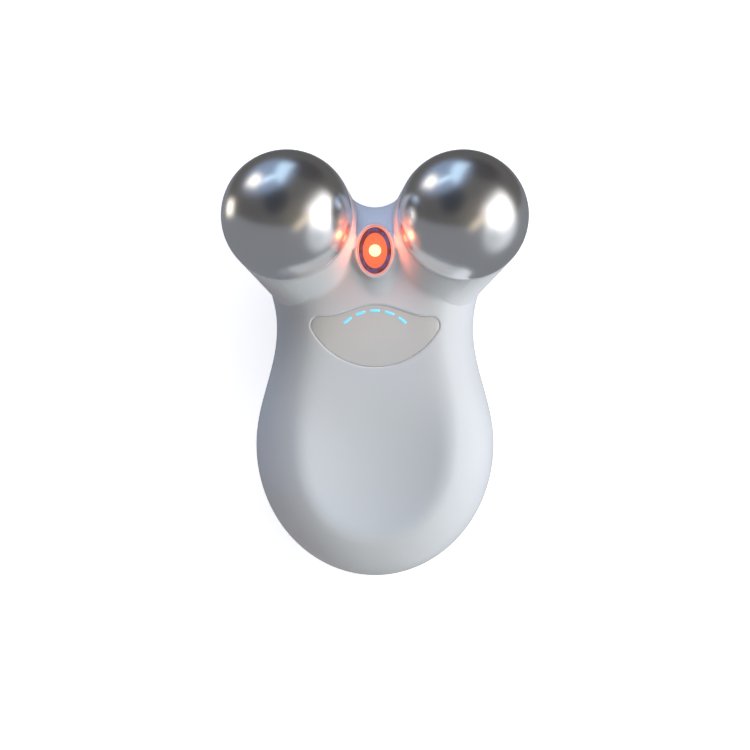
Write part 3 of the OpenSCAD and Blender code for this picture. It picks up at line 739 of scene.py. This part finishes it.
def group_frame(name):
    group = bpy.data.node_groups.new(name, "ShaderNodeTree")
    return group, group.nodes.new("NodeGroupInput"), group.nodes.new("NodeGroupOutput")


def math_node(tree, operation, a, b):
    node = tree.nodes.new("ShaderNodeMath")
    node.operation = operation
    for socket, value in zip(node.inputs, (a, b)):
        if isinstance(value, (int, float)):
            socket.default_value = value
        else:
            tree.links.new(value, socket)
    return node.outputs[0]


def grain_group():
    """Fine moulded or blasted grain: a height and a gentle wander of tone."""
    group, inputs, outputs = group_frame("Fine grain")
    socket_in(group, "Float", "Grain size", 0.4)
    socket_in(group, "Float", "Wander size", 12.0)
    socket_out(group, "Float", "Height")
    socket_out(group, "Float", "Wander")
    place = group.nodes.new("ShaderNodeTexCoord")
    fine = group.nodes.new("ShaderNodeTexNoise")
    broad = group.nodes.new("ShaderNodeTexNoise")
    for noise, socket in ((fine, "Grain size"), (broad, "Wander size")):
        group.links.new(place.outputs["Object"], noise.inputs["Vector"])
        group.links.new(math_node(group, "DIVIDE", 1000.0, inputs.outputs[socket]), noise.inputs["Scale"])
        noise.inputs["Detail"].default_value = 3
    group.links.new(fine.outputs["Fac"], outputs.inputs["Height"])
    group.links.new(broad.outputs["Fac"], outputs.inputs["Wander"])
    return group


def blend_group():
    """Mixes two colours by a mask, and a value between two ends by the same mask."""
    group, inputs, outputs = group_frame("Two tones")
    socket_in(group, "Float", "Mask", 0.5)
    socket_in(group, "Color", "Low tone", (0.5, 0.5, 0.5, 1))
    socket_in(group, "Color", "High tone", (0.6, 0.6, 0.6, 1))
    socket_in(group, "Float", "Low value", 0.3)
    socket_in(group, "Float", "High value", 0.4)
    socket_out(group, "Color", "Tone")
    socket_out(group, "Float", "Value")
    mix = group.nodes.new("ShaderNodeMix")
    mix.data_type = "RGBA"
    group.links.new(inputs.outputs["Mask"], mix.inputs["Factor"])
    group.links.new(inputs.outputs["Low tone"], mix.inputs[6])
    group.links.new(inputs.outputs["High tone"], mix.inputs[7])
    group.links.new(mix.outputs[2], outputs.inputs["Tone"])
    span = group.nodes.new("ShaderNodeMapRange")
    group.links.new(inputs.outputs["Mask"], span.inputs["Value"])
    group.links.new(inputs.outputs["Low value"], span.inputs["To Min"])
    group.links.new(inputs.outputs["High value"], span.inputs["To Max"])
    group.links.new(span.outputs[0], outputs.inputs["Value"])
    return group


GRAIN = grain_group()
BLEND = blend_group()


class Finish:
    """A material with a Principled shader, fine grain and two tones that wander over it. A lit
    one glows in the same two tones, in crisp patches of painted reflection and painted light."""

    def __init__(self, name, low, high, rough, grain=0.4, wander=12.0, bump=0.02, depth=0.02,
                 lit=False, **constants):
        self.material = bpy.data.materials.new(name)
        self.material.use_nodes = True
        self.tree = self.material.node_tree
        self.shader = self.tree.nodes["Principled BSDF"]
        self.grain = self.group(GRAIN, {"Grain size": grain, "Wander size": wander})
        tones = self.group(BLEND, {
            "Low tone": (*low, 1), "High tone": (*high, 1), "Low value": rough[0], "High value": rough[1]})
        mask = self.grain.outputs["Wander"]
        # A lit finish paints light: its two tones glow in crisp patches, as painted reflection and painted
        # lamp light on a piece that is no lamp.
        if lit:
            mask = map_range(self.tree, mask, 0.44, 0.56)
            self.link(tones.outputs["Tone"], self.shader.inputs["Emission Color"])
        self.link(mask, tones.inputs["Mask"])
        self.link(tones.outputs["Tone"], self.shader.inputs["Base Color"])
        self.link(tones.outputs["Value"], self.shader.inputs["Roughness"])
        self.bump = self.tree.nodes.new("ShaderNodeBump")
        self.bump.inputs["Strength"].default_value = bump
        self.bump.inputs["Distance"].default_value = depth * MM
        self.link(self.grain.outputs["Height"], self.bump.inputs["Height"])
        self.link(self.bump.outputs["Normal"], self.shader.inputs["Normal"])
        for socket, value in constants.items():
            self.shader.inputs[socket.replace("_", " ")].default_value = value

    def group(self, group, values):
        node = self.tree.nodes.new("ShaderNodeGroup")
        node.node_tree = group
        for socket, value in values.items():
            node.inputs[socket].default_value = value
        return node

    def link(self, a, b):
        self.tree.links.new(a, b)


def dress(finish, *pieces):
    for piece in pieces:
        piece.data.materials.clear()
        piece.data.materials.append(finish.material)


def finishes():
    return {
        "shell": Finish("Satin shell", (0.635, 0.67, 0.705), (0.665, 0.695, 0.725), (0.42, 0.48),
                        grain=0.25, bump=0.03, Specular_IOR_Level=0.25, Coat_Weight=0.35,
                        Coat_Roughness=0.03),
        "back": Finish("Satin back", (0.62, 0.655, 0.69), (0.65, 0.68, 0.71), (0.33, 0.40),
                       grain=0.25, bump=0.06, Coat_Weight=0.2, Coat_Roughness=0.2),
        "key": Finish("Warm grey key", (0.595, 0.60, 0.59), (0.635, 0.64, 0.63), (0.30, 0.38),
                      grain=0.2, bump=0.08, Coat_Weight=0.2, Coat_Roughness=0.2),
        "ball": Finish("Polished plating", (0.87, 0.87, 0.875), (0.925, 0.925, 0.93), (0.22, 0.26),
                       grain=0.6, bump=0.02, Metallic=1.0),
        "bezel": Finish("Lit clear ring", (0.42, 0.26, 0.22), (0.48, 0.29, 0.24), (0.18, 0.26),
                        Emission_Color=(1.0, 0.30, 0.18, 1), Emission_Strength=0.48),
        # The funnel glows in crisp slate and red-brown patches: painted reflections and painted red light
        # from the lamp beside it.
        "funnel": Finish("Dark funnel with painted reflections", (0.014, 0.014, 0.035), (0.022, 0.007, 0.006), (0.35, 0.45),
                         wander=1.7, lit=True, Specular_IOR_Level=0.15, Emission_Strength=5.5),
        "lens": Finish("Tinted lens", (0.16, 0.02, 0.01), (0.20, 0.03, 0.015), (0.20, 0.28),
                       Emission_Color=(1.0, 0.215, 0.10, 1), Emission_Strength=0.80),
        "lamp": Finish("Lit lamp", (0.05, 0.04, 0.03), (0.07, 0.05, 0.04), (0.3, 0.4),
                       Emission_Color=(1.0, 0.76, 0.40, 1), Emission_Strength=1.65),
        "bar": Finish("Lit level light", (0.26, 0.74, 0.80), (0.30, 0.80, 0.86), (0.22, 0.3),
                      Emission_Color=(0.02, 0.46, 0.88, 1), Emission_Strength=0.62),
        "seal": Finish("Silicone gasket", (0.55, 0.56, 0.57), (0.62, 0.63, 0.64), (0.55, 0.65), bump=0.1),
        "foam": Finish("Foam pad", (0.05, 0.05, 0.055), (0.09, 0.09, 0.10), (0.85, 0.95),
                       grain=0.8, bump=0.6, depth=0.2),
        "steel": Finish("Nickel plating", (0.62, 0.61, 0.59), (0.72, 0.71, 0.69), (0.22, 0.32),
                        grain=0.5, bump=0.05, Metallic=1.0),
        "contact": Finish("Gilt contact", (0.75, 0.55, 0.26), (0.85, 0.65, 0.32), (0.22, 0.32), Metallic=1.0),
        "board": Finish("Green board", (0.015, 0.14, 0.06), (0.03, 0.20, 0.09), (0.30, 0.42),
                        grain=0.6, wander=3.0, bump=0.1, Coat_Weight=0.4),
        "black": Finish("Black moulding", (0.02, 0.02, 0.022), (0.035, 0.035, 0.04), (0.40, 0.55), bump=0.15),
        "white": Finish("Cream moulding", (0.75, 0.73, 0.64), (0.82, 0.80, 0.72), (0.35, 0.45), bump=0.08),
        "copper": Finish("Enamelled copper", (0.55, 0.20, 0.06), (0.72, 0.30, 0.10), (0.22, 0.34),
                         grain=0.25, bump=0.5, depth=0.1, Metallic=0.9),
        "core": Finish("Ferrite", (0.06, 0.06, 0.065), (0.10, 0.10, 0.105), (0.55, 0.7), grain=0.3, bump=0.3),
        "cell": Finish("Foil pouch", (0.55, 0.57, 0.60), (0.66, 0.68, 0.70), (0.30, 0.45),
                       grain=1.6, wander=6.0, bump=0.25, depth=0.1, Metallic=0.85),
        "wire_yellow": Finish("Yellow insulation", (0.72, 0.58, 0.06), (0.80, 0.66, 0.09), (0.35, 0.45)),
        "wire_red": Finish("Red insulation", (0.50, 0.03, 0.02), (0.60, 0.05, 0.03), (0.35, 0.45)),
        "wire_black": Finish("Black insulation", (0.02, 0.02, 0.02), (0.035, 0.035, 0.035), (0.38, 0.5)),
    }


# ---------------------------------------------------------------- studio

# Upwards in the room that the polished pieces reflect: the device leans back in it
ROOM_UP = Vector((0.0, 0.942, 0.335))

# Heights of the window's two glows above its ring, in millimetres
GLOW_RISE = 2.2
HAZE_RISE = 10.0

# Strength of the floor's own glow, and of the air round the device
FLOOR_GLOW = 0.70
AIR_GLOW = 0.059


def glow_shader(name):
    """A material that only glows, with its colour and strength sockets left to be fed."""
    material = bpy.data.materials.new(name)
    material.use_nodes = True
    tree = material.node_tree
    tree.nodes.clear()
    glow = tree.nodes.new("ShaderNodeEmission")
    out = tree.nodes.new("ShaderNodeOutputMaterial")
    tree.links.new(glow.outputs[0], out.inputs["Surface"])
    return material, tree, glow, out


def map_range(tree, value, low, high, to_low=0.0, to_high=1.0):
    node = tree.nodes.new("ShaderNodeMapRange")
    node.interpolation_type = "SMOOTHSTEP"
    for socket, number in zip(("From Min", "From Max", "To Min", "To Max"), (low, high, to_low, to_high)):
        node.inputs[socket].default_value = number
    tree.links.new(value, node.inputs["Value"])
    return node.outputs[0]


def toward(tree, direction, towards):
    """How far a direction points towards another, from -1 to 1."""
    node = tree.nodes.new("ShaderNodeVectorMath")
    node.operation = "DOT_PRODUCT"
    node.inputs[1].default_value = Vector(towards).normalized()
    tree.links.new(direction, node.inputs[0])
    return node.outputs["Value"]


def mix_colour(tree, mask, low, high):
    node = tree.nodes.new("ShaderNodeMix")
    node.data_type = "RGBA"
    tree.links.new(mask, node.inputs["Factor"])
    for socket, colour in ((6, low), (7, high)):
        if isinstance(colour, tuple):
            node.inputs[socket].default_value = (*colour, 1)
        else:
            tree.links.new(colour, node.inputs[socket])
    return node.outputs[2]


def reflected_room():
    """A dim room that only reflections see: grey floor below, dark walls and soft patches above."""
    deselect()
    bpy.ops.mesh.primitive_uv_sphere_add(segments=64, ring_count=32, radius=1.9)
    room = named(bpy.context.object, "reflected_room")
    material, tree, glow = glow_shader("Reflected room")[:3]
    place = tree.nodes.new("ShaderNodeTexCoord")
    unit = tree.nodes.new("ShaderNodeVectorMath")
    unit.operation = "NORMALIZE"
    tree.links.new(place.outputs["Object"], unit.inputs[0])
    way = unit.outputs[0]
    patches = (
        ((0.3, 0.0, 0.92), 0.80, 1.0, (0.155, 0.14, 0.125)),
        ((-0.36, 0.44, 0.82), 0.84, 0.99, (0.038, 0.042, 0.05)),
        ((0.35, 0.9, -0.1), 0.86, 0.98, (0.062, 0.058, 0.06)),
        ((-0.9, 0.1, 0.4), 0.80, 0.97, (0.10, 0.096, 0.096)),
        ((-0.42, 0.90, 0.1), 0.74, 0.97, (0.28, 0.35, 0.50)),
        ((0.92, 0.0, 0.4), 0.70, 0.96, (0.40, 0.37, 0.34)),
    )
    colour = (0.112, 0.108, 0.106)
    for aim, start, full, tone in patches:
        colour = mix_colour(tree, map_range(tree, toward(tree, way, aim), start, full), colour, tone)
    shine = map_range(tree, toward(tree, way, (0.93, -0.33, 0.2)), 0.75, 1.0)
    floor_tone = mix_colour(tree, shine, (0.215, 0.225, 0.243), (0.80, 0.83, 0.88))
    below = map_range(tree, toward(tree, way, ROOM_UP), 0.035, -0.035)
    tree.links.new(mix_colour(tree, below, colour, floor_tone), glow.inputs["Color"])
    room.data.materials.append(material)
    reflections_only(room)
    return room


def reflections_only(piece):
    piece.visible_camera = False
    piece.visible_diffuse = False
    piece.visible_shadow = False
    piece.visible_transmission = False
    piece.visible_volume_scatter = False


def card(name, polar, azimuth, width, height, turn, colour, power, soft=0.25, far=1.0):
    """A glowing window that only reflections see, with soft edges. Its place is the way it is seen
    from the balls: polar is the angle from straight up, azimuth the angle round from the right."""
    p, a = math.radians(polar), math.radians(azimuth)
    way = Vector((math.sin(p) * math.cos(a), math.sin(p) * math.sin(a), math.cos(p)))
    deselect()
    bpy.ops.mesh.primitive_plane_add(size=1, location=(0, 0, 0))
    window = named(bpy.context.object, name)
    window.scale = (width, height, 1)
    face = way.to_track_quat("Z", "Y").to_matrix() @ Matrix.Rotation(math.radians(turn), 3, "Z")
    window.rotation_euler = face.to_euler()
    window.location = way * far + Vector((0, BALL_Y * MM, BALL_Z * MM))
    material, tree, glow, out = glow_shader(name + " glow")
    glow.inputs["Color"].default_value = (*colour, 1)
    glow.inputs["Strength"].default_value = power
    place = tree.nodes.new("ShaderNodeTexCoord")
    parts = tree.nodes.new("ShaderNodeSeparateXYZ")
    tree.links.new(place.outputs["Object"], parts.inputs[0])
    mask = None
    for axis in ("X", "Y"):
        side = tree.nodes.new("ShaderNodeMath")
        side.operation = "ABSOLUTE"
        tree.links.new(parts.outputs[axis], side.inputs[0])
        edge = map_range(tree, side.outputs[0], 0.5, 0.5 - soft)
        mask = edge if mask is None else math_node(tree, "MULTIPLY", mask, edge)
    clear = tree.nodes.new("ShaderNodeBsdfTransparent")
    blend = tree.nodes.new("ShaderNodeMixShader")
    tree.links.new(mask, blend.inputs[0])
    tree.links.new(clear.outputs[0], blend.inputs[1])
    tree.links.new(glow.outputs[0], blend.inputs[2])
    tree.links.new(blend.outputs[0], out.inputs["Surface"])
    window.data.materials.append(material)
    reflections_only(window)
    return window


def floor():
    """A pale floor that shows white and keeps the object's soft shadow."""
    deselect()
    bpy.ops.mesh.primitive_plane_add(size=6, location=(0, 0, 0))
    plane = named(bpy.context.object, "floor")
    material = bpy.data.materials.new("Pale floor")
    material.use_nodes = True
    tree = material.node_tree
    shader = tree.nodes["Principled BSDF"]
    shader.inputs["Base Color"].default_value = (0.8, 0.8, 0.8, 1)
    shader.inputs["Roughness"].default_value = 0.9
    shader.inputs["Specular IOR Level"].default_value = 0.0
    rays = tree.nodes.new("ShaderNodeLightPath")
    seen = math_node(tree, "ADD", rays.outputs["Is Camera Ray"], rays.outputs["Is Glossy Ray"])
    seen = math_node(tree, "ADD", seen, rays.outputs["Is Transmission Ray"])
    seen = math_node(tree, "MINIMUM", seen, 1.0)
    shader.inputs["Emission Color"].default_value = (1, 1, 1, 1)
    tree.links.new(math_node(tree, "MULTIPLY", seen, FLOOR_GLOW), shader.inputs["Emission Strength"])
    plane.data.materials.append(material)
    plane.visible_glossy = False
    return plane


def lit_haze():
    """The blurred glow of the lit window in the balls: a warm core in an orange haze, from lights
    that only reflections see."""
    for name, along, radius, power, colour in (
            ("haze core", 0.3, 1.7, 2.6e-4, (1.0, 0.66, 0.22)),
            ("haze middle", 0.3, 3.4, 2.2e-4, (1.0, 0.26, 0.09)),
            ("haze upper", 3.0, 4.2, 2.0e-4, (1.0, 0.22, 0.12)),
            ("haze lower", -1.8, 5.0, 3.0e-4, (1.0, 0.24, 0.13))):
        data = bpy.data.lights.new(name, "POINT")
        data.shadow_soft_size = radius * MM
        data.energy = power
        data.color = colour
        haze = bpy.data.objects.new(name, data)
        bpy.context.collection.objects.link(haze)
        haze.location = (0, (WINDOW_Y + along) * MM, (BEZEL_TOP + HAZE_RISE) * MM)
        haze.visible_camera = False
        haze.visible_diffuse = False
        haze.visible_transmission = False


def area_lamp(name, place, aim, size, power, colour):
    data = bpy.data.lights.new(name, "AREA")
    data.shape = "RECTANGLE"
    data.size, data.size_y = size
    data.energy = power
    data.color = colour
    lamp_object = bpy.data.objects.new(name, data)
    bpy.context.collection.objects.link(lamp_object)
    lamp_object.location = place
    lamp_object.rotation_euler = (Vector(place) - Vector(aim)).to_track_quat("Z", "Y").to_euler()
    lamp_object.visible_glossy = False
    lamp_object.visible_camera = False


def window_glow():
    """The red light that the lamp throws on the horns beside it."""
    data = bpy.data.lights.new("window glow", "POINT")
    data.shadow_soft_size = 2.0 * MM
    data.energy = 0.0050
    data.color = (1.0, 0.22, 0.12)
    glow = bpy.data.objects.new("window glow", data)
    bpy.context.collection.objects.link(glow)
    glow.location = (0, (WINDOW_Y + 0.5) * MM, (BEZEL_TOP + GLOW_RISE) * MM)
    glow.visible_glossy = False


def studio():
    aim = Vector((0, 0.02, 0.02))
    windows = (
        card("key window", 68, 1, 1.30, 1.62, 30, (1.0, 0.99, 0.975), 2.1, 0.38),
        card("pale wall", 68, -36, 0.75, 1.0, -10, (0.88, 0.94, 1.0), 0.60, 0.45),
        card("warm sill", 31, -24, 1.15, 0.34, -20, (1.0, 0.86, 0.66), 0.85, 0.4),
        card("roof window", 82, 97, 0.46, 1.25, -20, (0.58, 0.78, 1.0), 1.2, 0.32),
        card("roof arm", 76, 116, 0.74, 0.30, 0, (0.62, 0.80, 1.0), 1.6, 0.4),
        card("roof glow", 82, 115, 1.35, 1.75, 0, (0.50, 0.68, 1.0), 0.46, 0.5),
        card("near lamp", 90, 134, 0.48, 0.66, 10, (1.0, 0.95, 0.88), 1.7, 0.35),
        card("far lamp", 98, 175, 0.019, 0.026, 0, (1.0, 0.90, 0.76), 2.0, 0.42, 0.065),
    )
    floor()
    reflected_room()
    area_lamp("key light", (0.80, 0.25, 0.70), aim, (0.5, 0.6), 5.68, (1.0, 0.925, 0.793))
    area_lamp("low key light", (0.90, -0.45, 0.45), aim, (0.5, 0.6), 4.35, (0.655, 0.936, 1.0))
    area_lamp("side light", (1.05, 0.05, 0.18), aim, (0.5, 0.4), 2.96, (0.92, 0.716, 1.0))
    area_lamp("sky light", (-0.1, 1.0, 0.35), aim, (0.7, 0.5), 3.6, (0.292, 0.461, 1.0))
    area_lamp("high sky light", (-0.1, 0.8, 0.8), aim, (0.7, 0.5), 3.3, (0.922, 0.976, 1.0))
    area_lamp("left light", (-0.75, 0.2, 0.75), aim, (0.6, 0.6), 1.66, (0.818, 0.84, 1.0))
    area_lamp("tail light", (0.1, -1.0, 0.4), aim, (0.7, 0.5), 2.91, (1.0, 0.804, 0.703))
    window_glow()
    lit_haze()
    world = bpy.data.worlds.new("studio air")
    bpy.context.scene.world = world
    world.use_nodes = True
    air = world.node_tree.nodes["Background"]
    air.inputs["Color"].default_value = (1.0, 1.0, 1.0, 1)
    air.inputs["Strength"].default_value = AIR_GLOW


def camera():
    """Straight down on the front face, through a long lens."""
    data = bpy.data.cameras.new("camera")
    data.lens = 500
    data.sensor_width = 36
    frame_width = 0.1875
    distance = frame_width * data.lens / data.sensor_width
    view = bpy.data.objects.new("camera", data)
    bpy.context.collection.objects.link(view)
    view.location = (0, 0.01725, 0.02 + distance)
    view.rotation_euler = (0, 0, 0)
    data.clip_end = 20
    bpy.context.scene.camera = view
    bpy.context.scene.view_settings.view_transform = "Standard"


# ---------------------------------------------------------------- assembly

SLOT_OF = {entry["node"]: entry["material_slot"] for entry in frame["record"]["subparts"]}


def build():
    look = finishes()
    front, back = shells()
    smooth(front, 50)
    smooth(back, 50)
    dress(look["shell"], front)
    dress(look["back"], back)
    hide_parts("front_shell")
    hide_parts("back_shell")

    fixed = [front, back]
    for side, node in ((-1, "ball_left"), (1, "ball_right")):
        ball = contact_ball(side)
        dress(look["ball"], ball)
        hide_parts(node)
        fixed.append(ball)
    window = (
        (window_bezel(), "window_bezel", "bezel"), (window_reflector(), "window_reflector", "funnel"),
        (window_lens(), "window_lens", "lens"), (lamp(), "red_lamp", "lamp"))
    for piece, node, finish in window:
        dress(look[finish], piece)
        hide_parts(node)
        fixed.append(piece)
    for piece in fixed:
        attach(piece, "case")

    plate = key_plate()
    dress(look["key"], plate)
    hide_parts("key_panel")
    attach(plate, "key")
    for i in range(-2, 3):
        bar = level_bar(i)
        dress(look["bar"], bar)
        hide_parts("level_lights")
        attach(bar, "key")

    replaced = {
        "front_shell", "back_shell", "ball_left", "ball_right", "window_bezel", "window_reflector",
        "window_lens", "red_lamp", "key_panel", "level_lights"}
    for node, piece in frame["nodes"].items():
        if node not in replaced:
            dress(look[SLOT_OF[node]], piece)


build()
studio()
camera()
